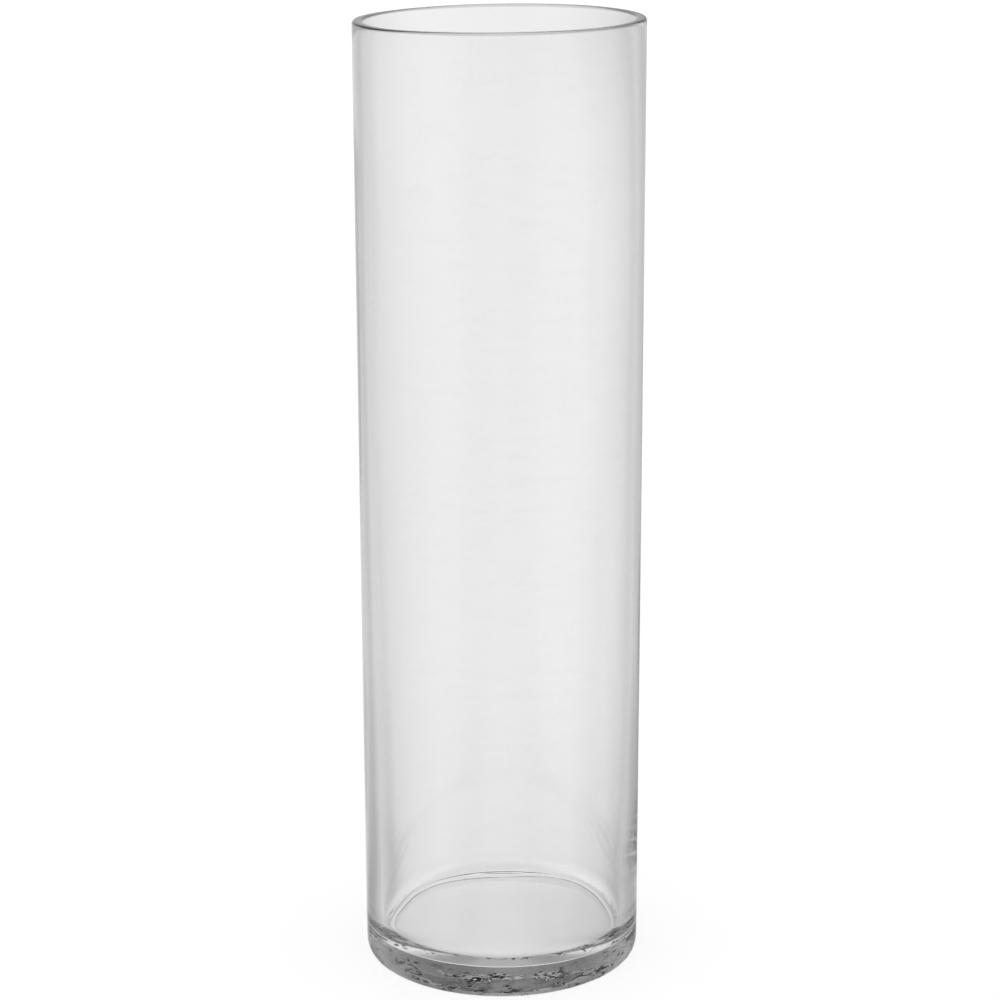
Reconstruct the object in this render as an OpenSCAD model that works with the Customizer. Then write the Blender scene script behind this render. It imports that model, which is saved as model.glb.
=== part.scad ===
// Tall clear glass cylinder vase, blown in one piece: an open tube with a
// fire-polished lip, a wall that thickens a little towards the foot, a heavy
// solid bottom and a shallow push-up underneath that leaves a ring to stand on.
// Millimetres, +Z up. The origin is the centre of the ring it stands on.

/* [Outside] */
// Outside diameter of the tube
outside_d = 120; // [90:1:180]
// Overall height from the standing ring to the top of the lip
height = 406.4; // [200:1:600]
// Radius of the rounded heel between the wall and the underside
heel_r = 2; // [1:0.5:5]

/* [Wall and lip] */
// Thickness of the glass in the straight part of the wall and at the lip
wall = 4.5; // [3:0.1:6]
// Height above which the inside is a true straight bore
straight_from = 110; // [60:1:150]
// Extra thickness of the wall where it runs into the bottom
foot_thickening = 2.5; // [0:0.1:4]

/* [Bottom] */
// Thickness of the solid glass bottom at the inside floor
bottom = 9.4; // [6:0.1:20]
// Radius of the inside corner between floor and wall
floor_fillet = 6; // [3:0.5:10]
// Width of the flat ring that the vase stands on
ring_w = 7; // [3:0.5:8]
// Depth of the push-up at the centre of the underside
push_up = 0.8; // [0.4:0.1:2.5]

/* [Hidden] */
$fn = 96;

r_out = outside_d / 2;
r_in = r_out - wall;
r_foot = r_in - foot_thickening;     // inside radius just above the floor fillet
z_foot = bottom + floor_fillet;      // where the floor fillet meets the wall
ring_out = r_out - heel_r;           // outer edge of the standing ring
ring_in = ring_out - ring_w;         // inner edge of the standing ring
dish_r = (ring_in * ring_in + push_up * push_up) / (2 * push_up);
eps = 0.01;

// Outside skin: straight tube, quarter-round heel, half-round lip
module outside() {
    union() {
        translate([0, 0, heel_r])
            cylinder(r = r_out, h = height - heel_r - wall / 2);
        cylinder(r = ring_out, h = heel_r);
        // heel
        rotate_extrude()
            translate([ring_out, heel_r]) intersection() {
                circle(r = heel_r);
                translate([0, -heel_r]) square([heel_r, heel_r]);
            }
        // lip: a half round as wide as the wall
        rotate_extrude()
            translate([r_out - wall / 2, height - wall / 2]) intersection() {
                circle(r = wall / 2);
                translate([-wall / 2, 0]) square([wall, wall / 2]);
            }
    }
}

// Everything inside: straight bore, slight taper at the foot, rounded floor
module inside() {
    union() {
        translate([0, 0, straight_from])
            cylinder(r = r_in, h = height - wall / 2 - straight_from + eps);
        translate([0, 0, z_foot])
            cylinder(r1 = r_foot, r2 = r_in, h = straight_from - z_foot);
        // floor and its corner
        rotate_extrude() union() {
            translate([0, bottom]) square([r_foot - floor_fillet, floor_fillet]);
            translate([r_foot - floor_fillet, z_foot]) intersection() {
                circle(r = floor_fillet);
                translate([0, -floor_fillet]) square([floor_fillet, floor_fillet]);
            }
        }
    }
}

// Push-up under the foot: a very shallow spherical dish inside the ring
module underside_dish() {
    translate([0, 0, push_up - dish_r]) intersection() {
        sphere(r = dish_r, $fn = 180);
        translate([0, 0, dish_r - push_up]) cylinder(r = ring_in + 1, h = push_up + 1);
    }
}

module glass_body() {
    color([0.86, 0.90, 0.89, 0.35]) difference() {
        outside();
        inside();
        underside_dish();
    }
}

glass_body();
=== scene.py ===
import math

import bpy
import numpy as np
from mathutils import Matrix, Vector


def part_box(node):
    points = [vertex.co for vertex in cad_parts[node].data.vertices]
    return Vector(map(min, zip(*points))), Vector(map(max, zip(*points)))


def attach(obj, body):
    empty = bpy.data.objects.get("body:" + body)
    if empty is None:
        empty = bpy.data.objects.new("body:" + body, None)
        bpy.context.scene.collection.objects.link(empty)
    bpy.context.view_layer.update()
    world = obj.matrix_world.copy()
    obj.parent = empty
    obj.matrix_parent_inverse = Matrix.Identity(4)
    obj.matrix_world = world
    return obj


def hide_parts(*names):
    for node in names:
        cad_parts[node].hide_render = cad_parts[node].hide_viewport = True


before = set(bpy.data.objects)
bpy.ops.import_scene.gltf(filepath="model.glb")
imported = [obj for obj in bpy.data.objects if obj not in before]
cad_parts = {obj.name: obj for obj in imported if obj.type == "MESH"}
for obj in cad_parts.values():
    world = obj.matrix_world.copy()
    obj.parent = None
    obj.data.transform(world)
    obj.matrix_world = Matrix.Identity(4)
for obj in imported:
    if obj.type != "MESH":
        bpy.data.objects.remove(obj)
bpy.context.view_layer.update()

scene = bpy.context.scene
lo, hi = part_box("glass_body")
R = round(float(hi[0] - lo[0]) / 2, 4)  # outside radius, 0.060
H = round(float(hi[2] - lo[2]), 4)  # height, 0.406
MM = 0.001

# ---------------------------------------------------------------- camera ---
PITCH, YAW, ROLL = math.radians(16.101), math.radians(-0.012), math.radians(-0.159)
cam_data = bpy.data.cameras.new("camera")
cam_data.sensor_width = 36.0
cam_data.lens = 100.0
cam_data.clip_start, cam_data.clip_end = 0.05, 40.0
cam = bpy.data.objects.new("camera", cam_data)
scene.collection.objects.link(cam)
fw = Vector((math.sin(YAW) * math.cos(PITCH), math.cos(YAW) * math.cos(PITCH), -math.sin(PITCH)))
rt = Vector((math.cos(YAW), -math.sin(YAW), 0.0))
up = rt.cross(fw)
r2 = rt * math.cos(ROLL) + up * math.sin(ROLL)
u2 = -rt * math.sin(ROLL) + up * math.cos(ROLL)
m = Matrix((r2, u2, -fw)).transposed().to_4x4()
m.translation = Vector((0.0, -18.946 * R, 8.854 * R))
cam.matrix_world = m
scene.camera = cam

# ----------------------------------------------------------------- noise ---


def make_noise(seed):
    """Smooth lattice noise in -1..1 on whole arrays, the same on every run."""
    rng = np.random.RandomState(seed)
    perm = np.tile(rng.permutation(256), 2)
    g = rng.normal(size=(256, 3))
    g /= np.linalg.norm(g, axis=1)[:, None]

    def noise(x, y, z):
        x, y, z = np.broadcast_arrays(
            np.asarray(x, float), np.asarray(y, float), np.asarray(z, float)
        )
        xi, yi, zi = np.floor(x).astype(int), np.floor(y).astype(int), np.floor(z).astype(int)
        xf, yf, zf = x - xi, y - yi, z - zi
        u, v, w = (t * t * t * (t * (t * 6 - 15) + 10) for t in (xf, yf, zf))
        out = 0.0
        for dx in (0, 1):
            for dy in (0, 1):
                for dz in (0, 1):
                    h = perm[(perm[(perm[(xi + dx) & 255] + yi + dy) & 255] + zi + dz) & 255]
                    d = g[h, 0] * (xf - dx) + g[h, 1] * (yf - dy) + g[h, 2] * (zf - dz)
                    out = out + d * (u if dx else 1 - u) * (v if dy else 1 - v) * (w if dz else 1 - w)
        return out * 1.6

    return noise


def smooth(a, b, x):
    t = np.clip((np.asarray(x, float) - a) / (b - a), 0, 1)
    return t * t * (3 - 2 * t)


# ------------------------------------------------------------- the glass ---
N = 512  # points round
PHI = np.linspace(0, 2 * math.pi, N, endpoint=False)
COS, SIN = np.cos(PHI), np.sin(PHI)
DEG = np.degrees(PHI)
Rm, Hm = R / MM, H / MM  # in millimetres

n_wall, n_under, n_floor, n_chill = make_noise(11), make_noise(23), make_noise(37), make_noise(53)


def round_table(degs, vals):
    """A quantity that changes smoothly round the vase, from a few values by direction (0 is +X, 90 is the back)."""
    d = np.array(degs + [degs[0] + 360.0])
    v = np.array(vals + [vals[0]])
    x = (DEG - d[0]) % 360.0 + d[0]
    raw = np.interp(x, d, v)
    k = np.exp(-0.5 * (np.arange(-24, 25) * (360.0 / N) / 5.0) ** 2)
    return np.convolve(np.concatenate([raw[-24:], raw, raw[:24]]), k / k.sum(), "valid")


def wall_thickness(z):
    """Mean thickness of the wall at a height: a lip thickened by fire-polishing, thin below it, thicker towards the foot."""
    zs = [0, 20, 40, 60, 80, 95, 120, 150, 200, 300, 370, 392, 401, 406]
    ts = [6.8, 6.3, 5.8, 5.45, 5.25, 5.05, 4.75, 4.5, 4.2, 3.7, 3.75, 4.5, 4.7, 4.5]
    return np.interp(z, zs, ts)


def wall_off_centre(z):
    """How far the hollow sits off the outside's axis, towards +X."""
    return np.interp(z, [0, 30, 60, 100, 200, 340, 392, 406], [0.1, 0.5, 0.9, 1.1, 1.15, 0.95, 0.3, 0.0])


def outer_wave(z):
    x, y = COS * 1.1, SIN * 1.1
    return -0.05 - 0.05 * n_wall(x, y, z / 90.0 + 7.3)


def inner_wave(z):
    fade = smooth(14, 40, z) * (1 - smooth(Hm - 16, Hm - 3, z))
    a = 0.09 * n_wall(COS * 1.7 + 5, SIN * 1.7 - 3, z / 140.0)
    b = 0.03 * n_wall(COS * 5.0 - 9, SIN * 5.0 + 4, z / 60.0 + 30)
    return (a + b) * fade


def lip_rise(z):
    """The lip isn't quite level: it is highest at the front right, lowest at the back left, and the slant dies out down the wall."""
    return smooth(Hm - 60, Hm, z) * LIP_Z


def blister(z):
    """A shallow blister on the front of the foot, right of centre."""
    d2 = ((np.abs(DEG - 281.0)) * math.pi / 180 * 60) ** 2 + 1.6 * (z - 8.6) ** 2
    return 0.28 * np.exp(-d2 / 3.2)


def chill(z):
    """Fine marks on the outside of the base, where the hot glass first met the cold mould: long and flat, fading out above it."""
    fade = 1 - smooth(10.0, 15.0, z)
    a = n_chill(COS * 60 / 7.0, SIN * 60 / 7.0, z / 1.7)
    b = n_chill(COS * 60 / 3.2 + 9, SIN * 60 / 3.2, z / 1.1 + 40)
    return fade * (CHILL_A * a + CHILL_B * b - 0.5 * (CHILL_A + CHILL_B)) - blister(z)


CHILL_A, CHILL_B = 0.05, 0.022
HEEL_X, HEEL_Z, HEEL_POW = 1.4, 5.5, 2.14
RING_OUT = Rm - HEEL_X
RING_IN = RING_OUT - 7.0
DISH = 0.78
FLOOR_MID, CROWN, TILT = 9.1, 0.35, 0.85  # the floor isn't quite level: it stands higher at the front
FLOOR_Z = FLOOR_MID - TILT * SIN
# the inside draws in to the floor in a cove, wide at the front and the back and tight at the two sides
COVE_F = round_table([-165, -150, -135, -110, -90, -70, -45, -30, -15, 0, 180], [0.08, 0.3, 0.65, 0.95, 1.0, 0.95, 0.65, 0.3, 0.08, 0.0, 0.0])
COVE_B = round_table([42, 57, 68, 80, 90, 102, 114, 126, 138, 180, 360], [0.0, 0.12, 0.5, 0.9, 1.0, 0.95, 0.7, 0.35, 0.1, 0.0, 0.0])
BACK = smooth(-0.6, 0.9, SIN)  # 0 at the front, 1 at the back
FOOT_Z = 16.6 + 9.6 * COVE_F - 1.2 * COVE_B  # where the inside starts to draw in
CORNER_Z = FLOOR_Z + 0.5 + 0.67 * COVE_F + 1.97 * COVE_B  # where the draw turns into the corner
CORNER_N = np.radians(20.0 + 14.2 * COVE_F + 29.0 * COVE_B)  # how far the wall leans there
WALL_FOOT = 0.88 - 1.75 * BACK  # the foot is a little thicker at the front

LIP_Z = round_table([-144, -123, -107, -90, -74, -57, -36, 0, 36, 57, 90, 123, 144, 180],
                    [-0.15, 0.32, 0.6, 0.8, 0.92, 0.85, 0.72, 0.78, 0.45, 0.25, -0.2, -0.62, -0.7, -0.35])

rings = []  # each: (r, z) arrays over PHI, from the middle of the underside, out, up, over the lip, down and in


def underside(r):
    """Height of the underside: a very shallow push-up with faint waves, and the ring that it stands on."""
    x, y = r * COS, r * SIN
    dish = DISH * np.clip(1 - (r / RING_IN) ** 2, 0, 1)
    amount = 1 - smooth(RING_IN - 1.5, RING_IN + 1.0, r)
    a = n_under(x / 9.0 + 0.5 * n_under(x / 15.0, y / 15.0, 3.0), y / 6.0, 0.0)
    return dish + amount * (0.03 + 0.015 * a)


for r in np.concatenate([[0.0], np.linspace(2.0, 44, 20), np.linspace(45.2, RING_OUT, 13)]):
    rings.append((np.full(N, r), np.maximum(underside(r), 0.0) if r < RING_IN + 0.9 else np.zeros(N)))
for a in np.linspace(0, math.pi / 2, 13)[1:]:
    rr = RING_OUT + HEEL_X * math.sin(a) ** (2 / HEEL_POW)
    zz = HEEL_Z * (1 - max(0.0, math.cos(a)) ** (2 / HEEL_POW))
    rings.append((np.full(N, rr) + (outer_wave(zz) + chill(zz)) * math.sin(a), np.full(N, zz)))
for z in np.concatenate([np.linspace(HEEL_Z + 0.6, 16, 18), np.linspace(24, Hm - 12, 26), [Hm - 9, Hm - 6.5, Hm - 4.2, Hm - 2.5]]):
    rings.append((Rm + outer_wave(z) + chill(z), z + lip_rise(z)))
# the lip: nearly flat on top, its two edges melted round by the flame
t_lip = wall_thickness(Hm)
EDGE = 1.15
lip = []
for a in np.linspace(0, math.pi / 2, 7):
    lip.append((Rm - EDGE + EDGE * math.cos(a), Hm - EDGE + EDGE * math.sin(a)))
for k in (0.33, 0.67):
    lip.append((Rm - EDGE - (t_lip - 2 * EDGE) * k, Hm))
for a in np.linspace(math.pi / 2, math.pi, 7):
    lip.append((Rm - t_lip + EDGE + EDGE * math.cos(a), Hm - EDGE + EDGE * math.sin(a)))
for rr, zz in lip:
    k = (rr - (Rm - t_lip)) / t_lip
    crown = 0.12 * (1 - (2 * k - 1) ** 2)
    rings.append((rr + outer_wave(zz) * k + inner_wave(zz) * (1 - k), zz + crown + lip_rise(zz)))


# the inside wall, down to the foot
def inside_r(z):
    foot = WALL_FOOT * (1 - smooth(18, 70, z))
    return Rm - wall_thickness(z) - foot + wall_off_centre(z) * COS + inner_wave(z)


for z in np.concatenate([[Hm - 2.5, Hm - 4.2, Hm - 6.5, Hm - 9], np.linspace(Hm - 12, 60, 22)]):
    rings.append((inside_r(z), z + lip_rise(z)))
for k in np.linspace(0, 1, 6)[1:]:
    z = 60 + (FOOT_Z - 60) * k
    rings.append((inside_r(z), z))
# the inside draws in towards the foot
r_now = inside_r(FOOT_Z)
lean0 = np.radians(2.6)
STEPS = 9
for k in range(STEPS):
    za, zb = (FOOT_Z + (CORNER_Z - FOOT_Z) * t for t in (k / STEPS, (k + 1) / STEPS))
    lean = lean0 + (CORNER_N - lean0) * (k + 0.5) / STEPS
    r_now = r_now - np.tan(lean) * (za - zb)
    rings.append((r_now, zb))
# the corner, down to the floor
rc = (CORNER_Z - FLOOR_Z) / (1 - np.sin(CORNER_N))
FLOOR_R = r_now - rc * np.cos(CORNER_N)
for k in np.linspace(0, 1, 10)[1:]:
    a = CORNER_N + (math.pi / 2 - CORNER_N) * k
    rings.append((FLOOR_R + rc * np.cos(a), FLOOR_Z + rc - rc * np.sin(a)))
# the floor, with the faint step that the plunger left a little way in from the corner
STEP_R = round_table(
    [-90, -45, -4, 12, 25, 44, 57, 68, 90, 102, 114, 126, 136, 165, 184, 225],
    [47.2, 49.5, 51.2, 50.5, 50.2, 50.3, 49.6, 47.8, 45.2, 45.4, 46.4, 48.3, 48.8, 49.4, 51.2, 49.5],
)
STEP_R = np.minimum(STEP_R, FLOOR_R - 0.4)


def floor_z(r):
    x, y = r * COS, r * SIN
    wave = 0.05 * n_floor(x / 18.0, y / 18.0, 1.0) * (1 - smooth(38, 46, r))
    return FLOOR_MID - TILT * SIN * (r / FLOOR_R) + CROWN * (1 - (r / FLOOR_R) ** 2) + wave


LEDGE_W = 1.4 + 1.25 * COVE_B
LEDGE_ON = smooth(-0.95, -0.5, SIN)
for part, off, up_ in ((0.0, -0.2, 0.0), (0.25, 0.0, 0.04), (0.5, 0.0, 0.09), (0.75, 0.0, 0.13), (0.9, 0.0, 0.15),
                       (1.0, 0.0, 0.13), (1.0, 0.13, 0.07), (1.0, 0.26, 0.02), (1.0, 0.45, 0.0)):
    r = STEP_R - LEDGE_W * part - off
    rings.append((r, floor_z(r) + up_ * LEDGE_ON))
r_in = r
for k in np.concatenate([np.linspace(1, 0.06, 16)[1:], [0.0]]):
    rings.append((r_in * k, floor_z(r_in * k)))

verts, faces, ring_start = [], [], []
for r, z in rings:
    if float(np.max(r)) < 1e-9:
        ring_start.append((len(verts), 1))
        verts.append((0.0, 0.0, float(np.mean(z)) * MM))
        continue
    ring_start.append((len(verts), N))
    verts += [(float(a * c) * MM, float(a * s) * MM, float(b) * MM) for a, b, c, s in zip(r, z, COS, SIN)]
for (s0, n0), (s1, n1) in zip(ring_start, ring_start[1:]):
    if n0 == 1:
        faces += [(s0, s1 + (i + 1) % N, s1 + i) for i in range(N)]
    elif n1 == 1:
        faces += [(s0 + i, s0 + (i + 1) % N, s1) for i in range(N)]
    else:
        faces += [(s0 + i, s0 + (i + 1) % N, s1 + (i + 1) % N, s1 + i) for i in range(N)]
mesh = bpy.data.meshes.new("vase_glass")
mesh.from_pydata(verts, [], faces)
mesh.validate()
mesh.polygons.foreach_set("use_smooth", [True] * len(mesh.polygons))
mesh.update()
vase = bpy.data.objects.new("vase_glass", mesh)
scene.collection.objects.link(vase)


# ----------------------------------------------------------- its material ---
def node(nt, kind, x=0, y=0, **kw):
    n = nt.nodes.new(kind)
    n.location = (x, y)
    for k, v in kw.items():
        setattr(n, k, v)
    return n


LIP_ROUGH = 0.22
# thresholds and strengths of the painted shade in the foot's wrinkles
STREAK_LO, STREAK_HI, STREAK_SHADE, MOTTLE_SHADE = 0.505, 0.56, 0.93, 0.1
glass = bpy.data.materials.new("clear_glass")
glass.use_nodes = True
nt = glass.node_tree
nt.nodes.clear()
out = node(nt, "ShaderNodeOutputMaterial", 900)
pr = node(nt, "ShaderNodeBsdfPrincipled", 300)
pr.inputs["Base Color"].default_value = (1.0, 1.0, 1.0, 1)
pr.inputs["Transmission Weight"].default_value = 1.0
pr.inputs["IOR"].default_value = 1.52
# the top of the lip is ground, so it is duller than the rest
gtc = node(nt, "ShaderNodeTexCoord", -1500)
gsep = node(nt, "ShaderNodeSeparateXYZ", -1300, 200)
nt.links.new(gtc.outputs["Object"], gsep.inputs[0])
# painted shade in the fine wrinkles of the foot's outside: the clear glass's base colour is darkened there, in marks
# longer than they are high: coarse blotches times fine streaks
def m2(op, a, b):
    n = node(nt, "ShaderNodeMath")
    n.operation = op
    for i, v in enumerate((a, b)):
        if hasattr(v, "links"):
            nt.links.new(v, n.inputs[i])
        else:
            n.inputs[i].default_value = v
    return n.outputs[0]


def span(value, lo_, hi_, to0=0.0, to1=1.0):
    n = node(nt, "ShaderNodeMapRange")
    n.inputs["From Min"].default_value, n.inputs["From Max"].default_value = lo_, hi_
    n.inputs["To Min"].default_value, n.inputs["To Max"].default_value = to0, to1
    nt.links.new(value, n.inputs["Value"])
    return n.outputs[0]


def speckle(sx, sz, detail, rough_):
    v = node(nt, "ShaderNodeVectorMath")
    v.operation = "MULTIPLY"
    nt.links.new(gtc.outputs["Object"], v.inputs[0])
    v.inputs[1].default_value = (sx, sx, sz)
    n = node(nt, "ShaderNodeTexNoise")
    n.inputs["Scale"].default_value = 1.0
    n.inputs["Detail"].default_value = detail
    n.inputs["Roughness"].default_value = rough_
    nt.links.new(v.outputs[0], n.inputs["Vector"])
    return n.outputs["Fac"]


r_sq = m2("ADD", m2("MULTIPLY", gsep.outputs[0], gsep.outputs[0]), m2("MULTIPLY", gsep.outputs[1], gsep.outputs[1]))
foot_shade_mask = m2("MULTIPLY", span(r_sq, 0.0545 ** 2, 0.056 ** 2), span(gsep.outputs[2], 0.0135, 0.0115))
foot_shade_mask = m2("MULTIPLY", foot_shade_mask, span(gsep.outputs[1], 0.004, -0.014, 0.06, 1.0))  # fewer towards the back
streaks = span(speckle(330.0, 900.0, 3.0, 0.6), STREAK_LO, STREAK_HI)
blotch = span(speckle(75.0, 190.0, 1.0, 0.5), 0.45, 0.56)
mottle = span(speckle(700.0, 1100.0, 2.0, 0.6), 0.35, 0.65)
# painted shade on the foot: streaks and mottle darken the base colour, most at the front
wrinkle_painted_shade = m2("MULTIPLY", foot_shade_mask, m2("ADD", m2("MULTIPLY", m2("MULTIPLY", streaks, blotch), STREAK_SHADE), m2("MULTIPLY", mottle, MOTTLE_SHADE)))
# painted shade on the lip: its base colour is darkened, as refraction alone leaves it lighter than in the photo. Least
# so at -X
below_lip = m2("SUBTRACT", gsep.outputs[2], m2("ADD", m2("MULTIPLY", gsep.outputs[0], 0.56 * MM / R), m2("MULTIPLY", gsep.outputs[1], -0.50 * MM / R)))
lip_painted_shade = m2("ADD", span(gsep.outputs[0], -0.058, -0.030, 0.10, 0.40), span(gsep.outputs[0], 0.040, 0.058, 0.0, 0.14))
lip_painted_shade = m2("MULTIPLY", span(below_lip, H - 0.0008, H - 0.0004), lip_painted_shade)
# the base colour: the painted shade of the foot and the lip, then the haze
shade_and_haze = m2("MULTIPLY", m2("SUBTRACT", 1.0, wrinkle_painted_shade), m2("SUBTRACT", 1.0, lip_painted_shade))
# a trace of haze over the whole wall: broad flat clouds and a fine grain
clouds = m2("MULTIPLY", span(speckle(55.0, 210.0, 2.0, 0.55), 0.3, 0.7), 0.022)
grain = m2("MULTIPLY", span(speckle(620.0, 620.0, 1.0, 0.5), 0.3, 0.7), 0.022)
shade_and_haze = m2("SUBTRACT", shade_and_haze, m2("SUBTRACT", m2("ADD", clouds, grain), 0.021))
shade_and_haze_colour = node(nt, "ShaderNodeCombineColor")
for i in range(3):
    nt.links.new(shade_and_haze, shade_and_haze_colour.inputs[i])
nt.links.new(shade_and_haze_colour.outputs[0], pr.inputs["Base Color"])
geo = node(nt, "ShaderNodeNewGeometry", -1500, -300)
nsep = node(nt, "ShaderNodeSeparateXYZ", -1300, -300)
nt.links.new(geo.outputs["Normal"], nsep.inputs[0])
high = node(nt, "ShaderNodeMapRange", -1100, 200)
high.inputs["From Min"].default_value, high.inputs["From Max"].default_value = H - 0.006, H - 0.004
nt.links.new(gsep.outputs[2], high.inputs["Value"])
flat = node(nt, "ShaderNodeMapRange", -1100, -300)
flat.inputs["From Min"].default_value, flat.inputs["From Max"].default_value = 0.75, 0.97
nt.links.new(nsep.outputs[2], flat.inputs["Value"])
lipm = node(nt, "ShaderNodeMath", -900, 0)
lipm.operation = "MULTIPLY"
nt.links.new(high.outputs[0], lipm.inputs[0])
nt.links.new(flat.outputs[0], lipm.inputs[1])
rough = node(nt, "ShaderNodeMath", -300, 0)
rough.operation = "MULTIPLY"
nt.links.new(lipm.outputs[0], rough.inputs[0])
rough.inputs[1].default_value = LIP_ROUGH
nt.links.new(rough.outputs[0], pr.inputs["Roughness"])
tr = node(nt, "ShaderNodeBsdfTransparent", 300, -500)
tr.inputs["Color"].default_value = (0.9, 0.9, 0.9, 1)
lp = node(nt, "ShaderNodeLightPath", 0, 400)
mix1 = node(nt, "ShaderNodeMixShader", 560)
mix2 = node(nt, "ShaderNodeMixShader", 720)
nt.links.new(lp.outputs["Is Diffuse Ray"], mix1.inputs[0])
nt.links.new(pr.outputs[0], mix1.inputs[1])
nt.links.new(tr.outputs[0], mix1.inputs[2])
nt.links.new(lp.outputs["Is Shadow Ray"], mix2.inputs[0])
nt.links.new(mix1.outputs[0], mix2.inputs[1])
nt.links.new(tr.outputs[0], mix2.inputs[2])
nt.links.new(mix2.outputs[0], out.inputs["Surface"])
# clear soda-lime glass still swallows a little of what goes a long way through it. The strength was picked to fit the photo
ab = node(nt, "ShaderNodeVolumeAbsorption", 560, -700)
ab.inputs["Color"].default_value = (0.4, 0.4, 0.4, 1)
ab.inputs["Density"].default_value = 10.0  # 6 per metre in all
nt.links.new(ab.outputs[0], out.inputs["Volume"])
mesh.materials.append(glass)

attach(vase, "root")
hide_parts("glass_body")

# ------------------------------------------------------------------ stage ---
# A round studio sweep: a flat floor that curves up into a wall all the way round, open at the top
BN = 128
prof = [(0.0, 0.0), (0.15, 0.0), (0.4, 0.0), (0.8, 0.0), (1.3, 0.0), (1.8, 0.0), (2.3, 0.0)]
for a in np.linspace(0, math.pi / 2, 17)[1:]:
    prof.append((2.3 + 1.5 * math.sin(a), 1.5 * (1 - math.cos(a))))
prof += [(3.8, 1.9), (3.8, 2.4)]
bv, bf = [(0.0, 0.0, 0.0)], []
for r, z in prof[1:]:
    bv += [(r * math.cos(t), r * math.sin(t), z) for t in np.linspace(0, 2 * math.pi, BN, endpoint=False)]
bf += [(0, 1 + i, 1 + (i + 1) % BN) for i in range(BN)]
for k in range(len(prof) - 2):
    s0, s1 = 1 + k * BN, 1 + (k + 1) * BN
    bf += [(s0 + i, s1 + i, s1 + (i + 1) % BN, s0 + (i + 1) % BN) for i in range(BN)]
bm_ = bpy.data.meshes.new("studio_sweep")
bm_.from_pydata(bv, [], bf)
bm_.polygons.foreach_set("use_smooth", [True] * len(bm_.polygons))
bm_.update()
sweep = bpy.data.objects.new("studio_sweep", bm_)
scene.collection.objects.link(sweep)
sweep.visible_transmission = False
sweep.visible_glossy = False

paper = bpy.data.materials.new("paper_sweep")
paper.use_nodes = True
nt = paper.node_tree
nt.nodes.clear()
out = node(nt, "ShaderNodeOutputMaterial", 1200)
em = node(nt, "ShaderNodeEmission", 600)
em.inputs["Color"].default_value = (1, 1, 1, 1)
em.inputs["Strength"].default_value = 0.66
df = node(nt, "ShaderNodeBsdfDiffuse", 600, -200)
df.inputs["Color"].default_value = (0.5, 0.5, 0.5, 1)
add = node(nt, "ShaderNodeAddShader", 900)
nt.links.new(em.outputs[0], add.inputs[0])
nt.links.new(df.outputs[0], add.inputs[1])
nt.links.new(add.outputs[0], out.inputs["Surface"])
bm_.materials.append(paper)

# The studio round it: a bright backdrop, grey at its two sides, and a darker ceiling with a big soft light in it
world = bpy.data.worlds.new("studio")
scene.world = world
world.use_nodes = True
nt = world.node_tree
nt.nodes.clear()
out = node(nt, "ShaderNodeOutputWorld", 1200)
bg = node(nt, "ShaderNodeBackground", 1000)
bg.inputs["Color"].default_value = (1, 1, 1, 1)
tc = node(nt, "ShaderNodeTexCoord", -800)
sep = node(nt, "ShaderNodeSeparateXYZ", -600)
nt.links.new(tc.outputs["Generated"], sep.inputs[0])


def math_node(op, a, b=None, c=None):
    n = nt.nodes.new("ShaderNodeMath")
    n.operation = op
    for i, v in enumerate((a, b, c)):
        if v is None:
            continue
        if hasattr(v, "links"):
            nt.links.new(v, n.inputs[i])
        else:
            n.inputs[i].default_value = v
    return n.outputs[0]


def ramp(socket, stops, kind="EASE"):
    n = nt.nodes.new("ShaderNodeValToRGB")
    n.color_ramp.interpolation = kind
    e = n.color_ramp.elements
    for i, (p, v) in enumerate(stops):
        if i < 2:
            el = e[i]
            el.position = p
        else:
            el = e.new(p)
        el.color = (v, v, v, 1)
    nt.links.new(socket, n.inputs[0])
    return n.outputs[0]


azim = math_node("MULTIPLY_ADD", math_node("ARCTAN2", sep.outputs[0], sep.outputs[1]), 0.5 / math.pi, 0.5)
elev = math_node("MULTIPLY_ADD", math_node("ARCSINE", sep.outputs[2]), 1 / math.pi, 0.5)


def az(deg):
    """Where a direction round the studio falls on its ramp: 0 is +Y, 90 is +X."""
    return deg / 360.0 + 0.5


def el(deg):
    return deg / 180.0 + 0.5


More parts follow.
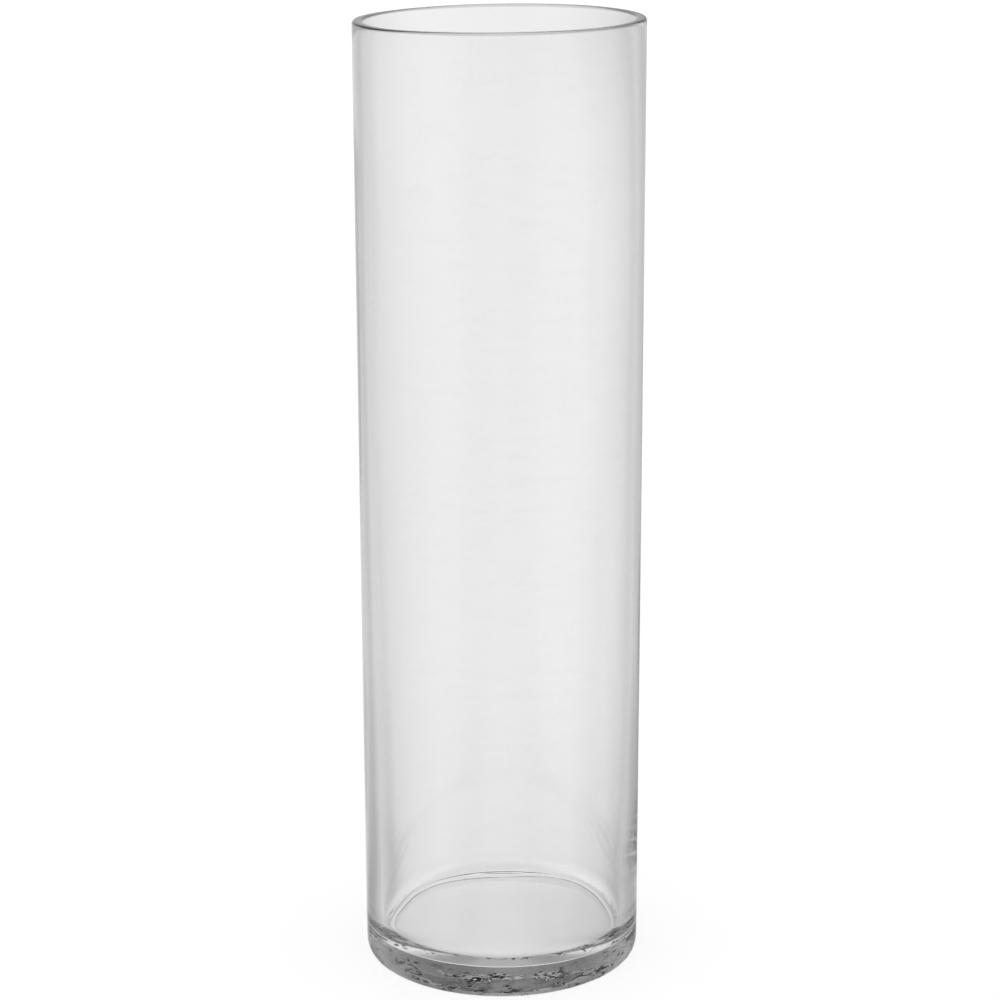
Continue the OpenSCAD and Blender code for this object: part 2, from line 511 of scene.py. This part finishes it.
ROUND = [(-180, 0.68), (-166, 0.65), (-154, 0.75), (-140, 1.0), (-128, 1.05), (-74, 1.02), (-60, 1.0), (-50, 0.84), (-44, 0.74),
         (-38, 0.69), (-32, 0.58), (-27, 0.53), (-22, 0.59), (-16, 0.70), (-10, 0.80), (-4, 0.88), (-1, 0.92), (2, 0.88),
         (5, 0.76), (10, 0.65), (16, 0.56), (27, 0.57), (40, 0.69), (50, 0.72), (72, 0.84), (86, 0.99), (116, 1.04),
         (128, 0.89), (140, 0.78), (154, 0.68), (180, 0.68)]
TABLE = 0.52
SIDE_GREY = 0.26
UP = [(-90, 0.957), (-40, 0.957), (-24.5, 0.957), (-20.5, 1.0), (8, 1.0), (16, 0.87), (26, 0.567), (55, 0.25), (64, 1.3), (90, 1.6)]
round_level = ramp(azim, [(az(a), v) for a, v in ROUND], "LINEAR")
up_level = ramp(elev, [(el(a), v) for a, v in UP])
# well below the horizon there is only the table close round the vase, lit a little more from behind
near_table = nt.nodes.new("ShaderNodeMapRange")
near_table.inputs["From Min"].default_value, near_table.inputs["From Max"].default_value = el(-32), el(-50)
nt.links.new(elev, near_table.inputs["Value"])
level = nt.nodes.new("ShaderNodeMix")
nt.links.new(near_table.outputs[0], level.inputs[0])
nt.links.new(round_level, level.inputs[2])
nt.links.new(math_node("MULTIPLY_ADD", math_node("MAXIMUM", sep.outputs[1], 0.0), 0.6, TABLE), level.inputs[3])
# the table is greyer a little to either side than straight behind the vase


def between(value, lo_, hi_):
    n = nt.nodes.new("ShaderNodeMapRange")
    n.inputs["From Min"].default_value, n.inputs["From Max"].default_value = lo_, hi_
    nt.links.new(value, n.inputs["Value"])
    return n.outputs[0]


low = between(elev, el(-20.0), el(-24.5))
off_x = math_node("ABSOLUTE", sep.outputs[0])
aside = math_node("MULTIPLY", between(off_x, 0.22, 0.38), between(off_x, 0.72, 0.5))
greyer = math_node("SUBTRACT", 1.0, math_node("MULTIPLY", math_node("MULTIPLY", low, aside), SIDE_GREY))
nt.links.new(math_node("MULTIPLY", math_node("MULTIPLY", level.outputs[0], up_level), greyer), bg.inputs["Strength"])
nt.links.new(bg.outputs[0], out.inputs[0])

scene.view_settings.view_transform = "Standard"
scene.view_settings.look = "None"
scene.cycles.max_bounces = 24
scene.cycles.transmission_bounces = 24
scene.cycles.glossy_bounces = 24
scene.cycles.transparent_max_bounces = 16
